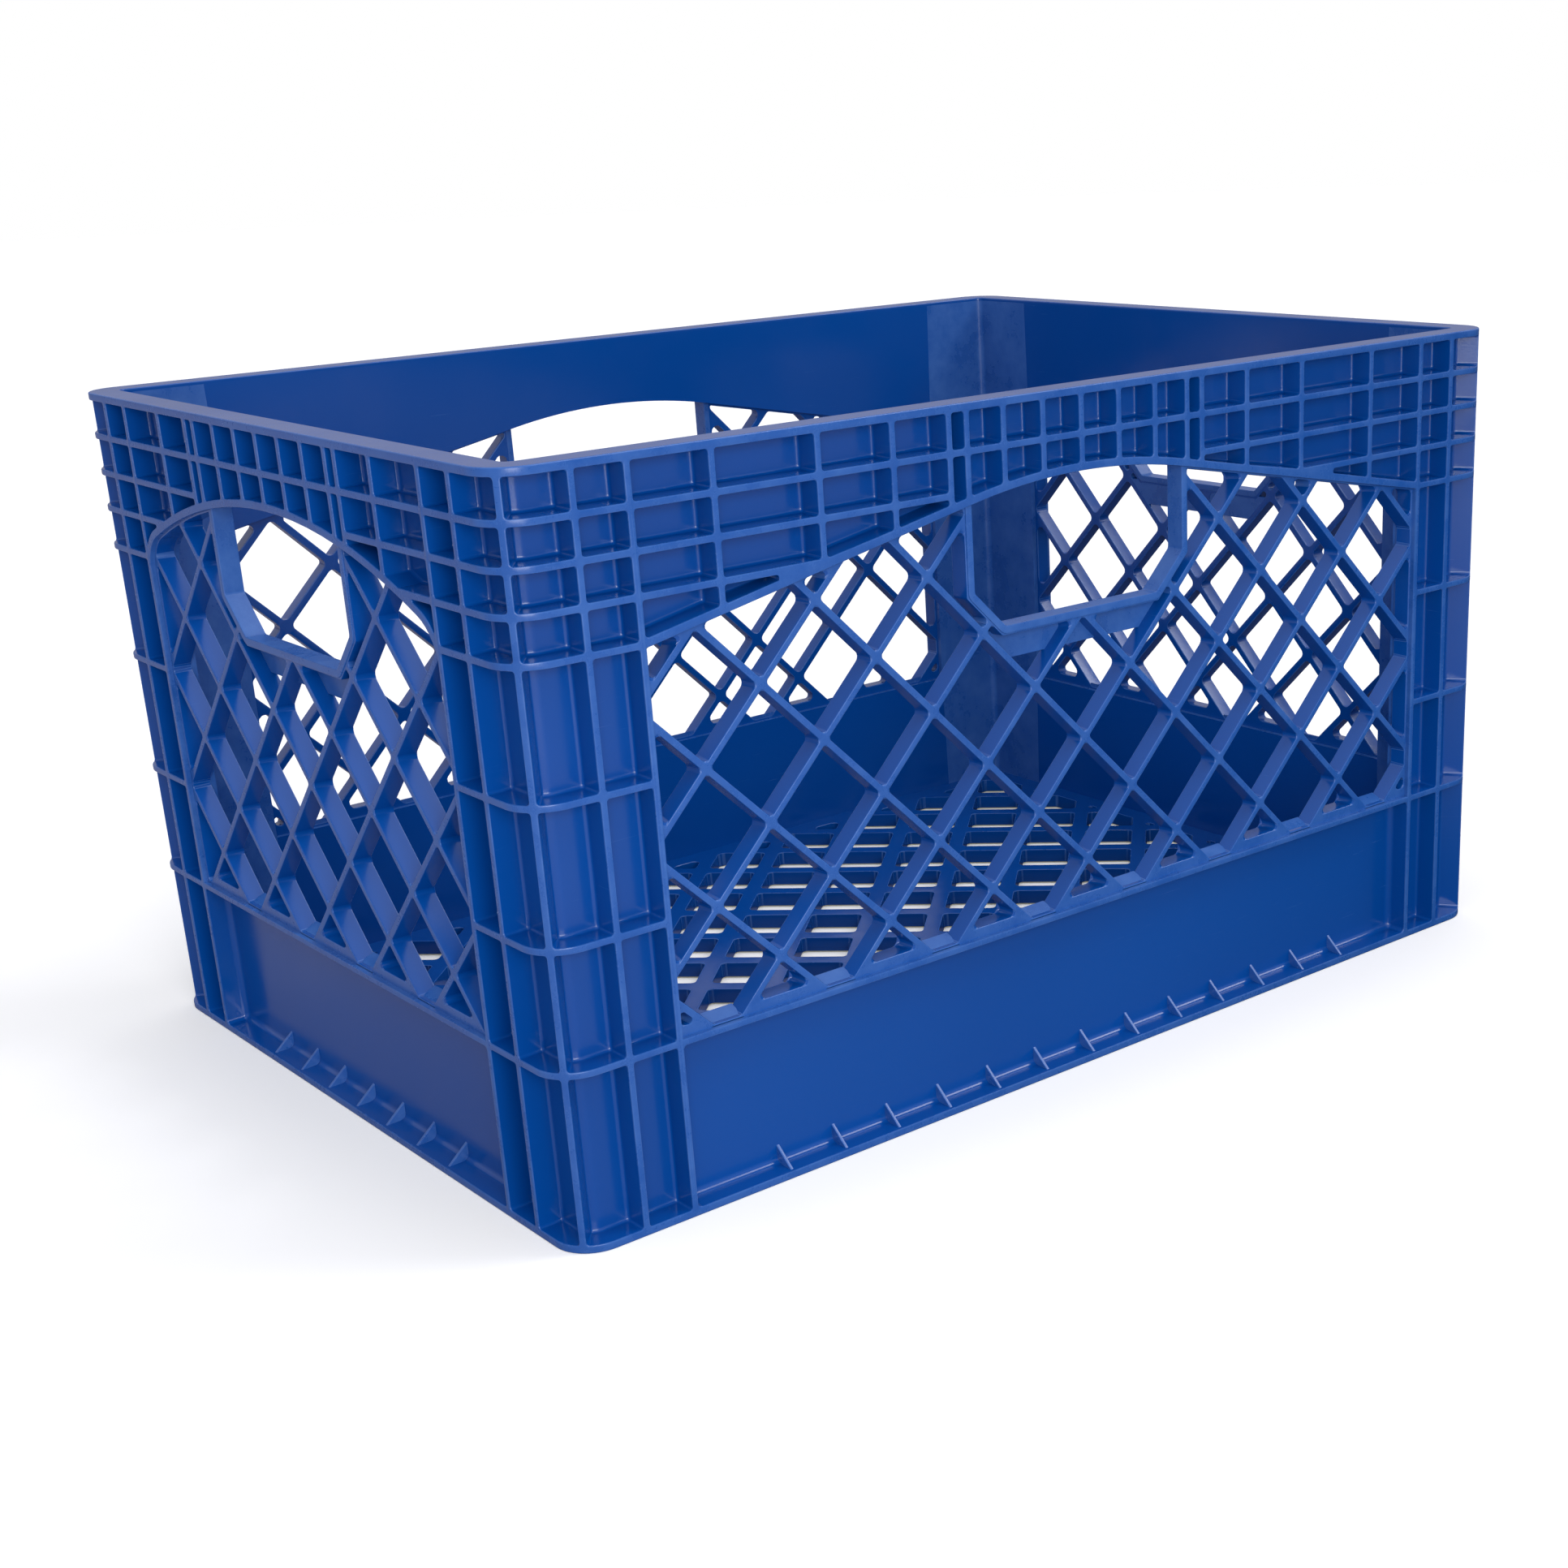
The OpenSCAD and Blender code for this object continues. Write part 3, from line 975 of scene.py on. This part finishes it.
def plastic():
    """Glossy moulded polyethylene: slight mottling, soft waves, fine scratches, and paler edges and outer
    faces that are partly rubbed and partly painted highlight.
    """
    material = bpy.data.materials.new("crate_plastic")
    tree = Nodes(material)
    shader = tree.nodes["Principled BSDF"]
    shader.inputs["IOR"].default_value = PLASTIC_IOR
    place = tree.add("ShaderNodeTexCoord").outputs["Object"]

    mottling = tree.ranged(tree.noise(place, 5, 1), 0.35, 0.65, 0, 1)
    base = tree.mix(mottling, DEEP, MID)
    # Paler rounded edges and outer faces: partly rubbing, partly painted highlight and painted light
    edges = tree.add("ShaderNodeAttribute", attribute_name="wear_and_painted_highlight").outputs["Fac"]
    patchy = tree.ranged(tree.noise(place, 60, 6, 0.7), 0.35, 0.7, *WEAR_AND_HIGHLIGHT_SHARE)
    rubbed_and_lit = tree.math("MULTIPLY", edges, patchy)
    scratch_place = tree.stretched(place, (1, 1, 40), (0.6, 0.5, 0.3))
    scratches = tree.ranged(tree.noise(scratch_place, 45, 3, 0.6), 0.68, 0.74, 0, SCRATCH)
    scratched = tree.ranged(tree.noise(place, 8), 0.5, 0.62, 0, 1)
    marks_and_highlight = tree.math("MAXIMUM", rubbed_and_lit, tree.math("MULTIPLY", scratches, scratched))
    tree.put(tree.mix(marks_and_highlight, base, PALE_WEAR_AND_HIGHLIGHT), shader.inputs["Base Color"])

    gloss = tree.ranged(tree.noise(place, 30, 7, 0.65), 0.3, 0.7, *GLOSS)
    rough = tree.math("ADD", gloss, tree.math("MULTIPLY", marks_and_highlight, MARK_ROUGHNESS))
    tree.put(rough, shader.inputs["Roughness"])

    waves = tree.bump(tree.noise(place, 14, 1), 0.45, 0.002)
    grain = tree.bump(tree.noise(place, 900, 3, 0.6), 0.08, 0.0002, waves)
    tree.put(grain, shader.inputs["Normal"])
    return material


blue = plastic()
for piece in crate:
    piece.data.materials.clear()
    piece.data.materials.append(blue)


# ---------------------------------------------------------------- stage and light

FLOOR_RADIUS = 8.0
FLOOR_SIDES = 64
FLOOR_ROUGHNESS = 0.9
FLOOR_SEEN = (0.98, 0.98, 0.98, 1)
FLOOR_LIFT = (0.16, 0.155, 0.11, 1)
BLACK = (0.0, 0.0, 0.0, 1)
WHITE = (1, 1, 1, 1)

# What the floor throws back: paler on the left and well in front, dim beside the crate on the right, a
# painted shadow of the crate
BOUNCE_PALE = (0.46, 0.43, 0.46, 1)
BOUNCE_DIM = (0.06, 0.07, 0.09, 1)
BOUNCE_FROM, BOUNCE_TO = -0.3, 0.25
BOUNCE_FRONT = 0.23


def camera_only(tree, seen, other):
    """A value for what the camera sees directly and another for light that bounces."""
    rays = tree.add("ShaderNodeLightPath").outputs["Is Camera Ray"]
    return tree.mix(rays, other, seen)


def stage_floor():
    """A plain round floor, white to the camera and dimmer for the light that it throws back."""
    bm = bmesh.new()
    bmesh.ops.create_circle(bm, cap_ends=True, radius=FLOOR_RADIUS, segments=FLOOR_SIDES)
    mesh = bpy.data.meshes.new("floor")
    bm.to_mesh(mesh)
    bm.free()
    floor = bpy.data.objects.new("floor", mesh)
    bpy.context.scene.collection.objects.link(floor)
    material = bpy.data.materials.new("pale_floor")
    tree = Nodes(material)
    shader = tree.nodes["Principled BSDF"]
    place = tree.add("ShaderNodeSeparateXYZ")
    tree.put(tree.add("ShaderNodeTexCoord").outputs["Object"], place.inputs[0])
    ahead = tree.math("MINIMUM", tree.math("ADD", place.outputs["Y"], BOUNCE_FRONT), 0.0)
    across = tree.math("ADD", place.outputs["X"], ahead)
    bounce = tree.mix(tree.ranged(across, BOUNCE_FROM, BOUNCE_TO, 0, 1), BOUNCE_PALE, BOUNCE_DIM)
    tree.put(camera_only(tree, FLOOR_SEEN, bounce), shader.inputs["Base Color"])
    tree.put(camera_only(tree, FLOOR_LIFT, BLACK), shader.inputs["Emission Color"])
    shader.inputs["Emission Strength"].default_value = 1.0
    shader.inputs["Roughness"].default_value = FLOOR_ROUGHNESS
    shader.inputs["Specular IOR Level"].default_value = 0.0
    mesh.materials.append(material)


LAMP = (1.0, 0.99, 0.98)


def sun(name, direction, strength, angle):
    """A soft distant light; direction points to it, and angle says how wide it is."""
    data = bpy.data.lights.new(name, "SUN")
    data.energy = strength
    data.angle = math.radians(angle)
    data.color = LAMP
    light = bpy.data.objects.new(name, data)
    bpy.context.scene.collection.objects.link(light)
    light.rotation_euler = Vector(direction).to_track_quat("Z", "Y").to_euler()


# Brightness of the room by height, from the horizon to straight overhead
SKY = [
    (0.0, (0.20, 0.20, 0.24, 1)),
    (0.3, (0.62, 0.62, 0.72, 1)),
    (0.42, (0.55, 0.55, 0.64, 1)),
    (0.6, (0.34, 0.35, 0.42, 1)),
    (0.75, (0.60, 0.62, 0.70, 1)),
    (1.0, (1.5, 1.5, 1.6, 1)),
]


def softbox(name, place, aim, size, power):
    """A square soft light near the crate, out of the camera's sight."""
    data = bpy.data.lights.new(name, "AREA")
    data.energy = power
    data.size = size
    light = bpy.data.objects.new(name, data)
    bpy.context.scene.collection.objects.link(light)
    light.location = place
    light.rotation_euler = (Vector(place) - Vector(aim)).to_track_quat("Z", "Y").to_euler()
    light.visible_camera = False


def sky():
    """A soft room: bright overhead, dimmer towards the horizon, and white where the camera sees it."""
    world = bpy.data.worlds.new("studio")
    bpy.context.scene.world = world
    tree = Nodes(world)
    split = tree.add("ShaderNodeSeparateXYZ")
    tree.put(tree.add("ShaderNodeTexCoord").outputs["Generated"], split.inputs[0])
    room = tree.ramp(split.outputs["Z"], SKY)
    tree.put(camera_only(tree, WHITE, room), tree.nodes["Background"].inputs["Color"])


stage_floor()
sky()
softbox("front", place=(-0.6, -1.1, 0.42), aim=(-0.1, -0.1, 0.15), size=0.6, power=6.6)
sun("fill", direction=(-0.2, -0.95, 0.27), strength=0.45, angle=45)
sun("side", direction=(0.6, -0.35, 0.7), strength=0.7, angle=22)


# ---------------------------------------------------------------- camera

SENSOR = 36.0
LENS = 51.76025
SHIFT_X, SHIFT_Y = -0.153364, 0.095238
CLIP = 0.01
EYE = Vector((-564.9, -783.8, 365.8)) * MM
RIGHT = Vector((0.74981, -0.66084, -0.03276))
DOWN = Vector((-0.25383, -0.24157, -0.93660))
AHEAD = Vector((0.61103, 0.71059, -0.34887))

camera_data = bpy.data.cameras.new("camera")
camera_data.sensor_width = SENSOR
camera_data.lens = LENS
camera_data.shift_x = SHIFT_X
camera_data.shift_y = SHIFT_Y
camera_data.clip_start = CLIP
camera = bpy.data.objects.new("camera", camera_data)
bpy.context.scene.collection.objects.link(camera)
turn = Matrix((RIGHT, -DOWN, -AHEAD)).transposed()
camera.matrix_world = Matrix.Translation(EYE) @ turn.to_4x4()
bpy.context.scene.camera = camera

view = bpy.context.scene.view_settings
view.view_transform = "Standard"
view.look = "None"
view.exposure = 0.0
